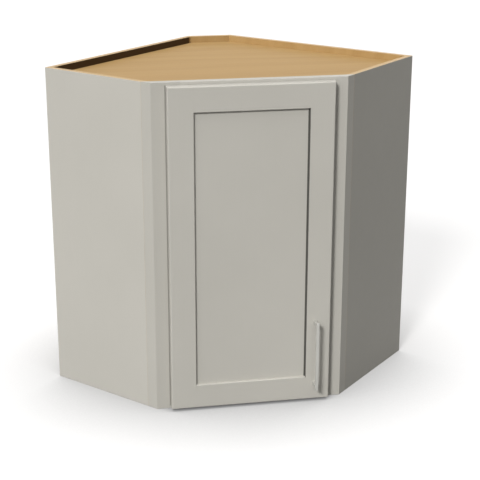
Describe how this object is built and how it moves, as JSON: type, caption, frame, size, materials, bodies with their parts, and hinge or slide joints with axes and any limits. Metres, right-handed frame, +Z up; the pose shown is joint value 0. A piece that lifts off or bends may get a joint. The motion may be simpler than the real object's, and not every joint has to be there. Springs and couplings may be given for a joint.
{
  "type": "diagonal corner wall cabinet",
  "caption": "Diagonal corner wall cabinet with a face frame, shelves, a clipped back corner and a shaker door on concealed hinges with a slim bar pull.",
  "frame": {"origin": "under the middle of the whole cabinet, pull included, on the plane of its lower edges", "axes": "+X to the right as seen from in front of the door, +Y back towards the room corner, +Z up"},
  "size_m": [0.8622, 0.6426, 0.762],
  "materials": {
    "grey_paint": "satin",
    "maple_plywood": "satin",
    "dark_hardboard": "matte",
    "satin_nickel": "satin",
    "nickel_plated_steel": "satin",
    "zinc_plated_steel": "satin",
    "clear_rubber": "satin"
  },
  "bodies": {
    "carcass": {"left_side_panel": "grey_paint", "right_side_panel": "grey_paint", "frame_left_stile": "grey_paint", "frame_right_stile": "grey_paint", "frame_bottom_rail": "grey_paint", "frame_top_rail": "grey_paint", "left_back_panel": "maple_plywood", "right_back_panel": "maple_plywood", "corner_back_panel": "maple_plywood", "bottom_deck": "maple_plywood", "top_deck": "maple_plywood", "lower_shelf": "maple_plywood", "upper_shelf": "maple_plywood", "left_back_dark_strip": "dark_hardboard", "lower_shelf_bracket_left_side": "nickel_plated_steel", "lower_shelf_bracket_left_back": "nickel_plated_steel", "lower_shelf_bracket_right_side": "nickel_plated_steel", "lower_shelf_bracket_right_back": "nickel_plated_steel", "lower_shelf_bracket_corner_back": "nickel_plated_steel", "upper_shelf_bracket_left_side": "nickel_plated_steel", "upper_shelf_bracket_left_back": "nickel_plated_steel", "upper_shelf_bracket_right_side": "nickel_plated_steel", "upper_shelf_bracket_right_back": "nickel_plated_steel", "upper_shelf_bracket_corner_back": "nickel_plated_steel", "lower_hinge_arm": "nickel_plated_steel", "lower_hinge_plate": "nickel_plated_steel", "upper_hinge_arm": "nickel_plated_steel", "upper_hinge_plate": "nickel_plated_steel", "lower_hinge_arm_screw": "zinc_plated_steel", "lower_hinge_plate_screw_low": "zinc_plated_steel", "lower_hinge_plate_screw_high": "zinc_plated_steel", "upper_hinge_arm_screw": "zinc_plated_steel", "upper_hinge_plate_screw_low": "zinc_plated_steel", "upper_hinge_plate_screw_high": "zinc_plated_steel"},
    "door": {"door_left_stile": "grey_paint", "door_right_stile": "grey_paint", "door_bottom_rail": "grey_paint", "door_top_rail": "grey_paint", "door_panel": "grey_paint", "pull": "satin_nickel", "lower_bumper": "clear_rubber", "upper_bumper": "clear_rubber", "lower_pull_screw": "zinc_plated_steel", "upper_pull_screw": "zinc_plated_steel", "lower_hinge_cup": "nickel_plated_steel", "upper_hinge_cup": "nickel_plated_steel", "lower_hinge_pin": "zinc_plated_steel", "upper_hinge_pin": "zinc_plated_steel", "lower_hinge_cup_screw_low": "zinc_plated_steel", "lower_hinge_cup_screw_high": "zinc_plated_steel", "upper_hinge_cup_screw_low": "zinc_plated_steel", "upper_hinge_cup_screw_high": "zinc_plated_steel"}
  },
  "joints": [
    {"name": "door_swing", "type": "hinge", "parent": "carcass", "child": "door", "pos_m": [-0.17646, -0.28108, 0.381], "axis": [0, 0, -1], "range_deg": [0, 105]}
  ]
}
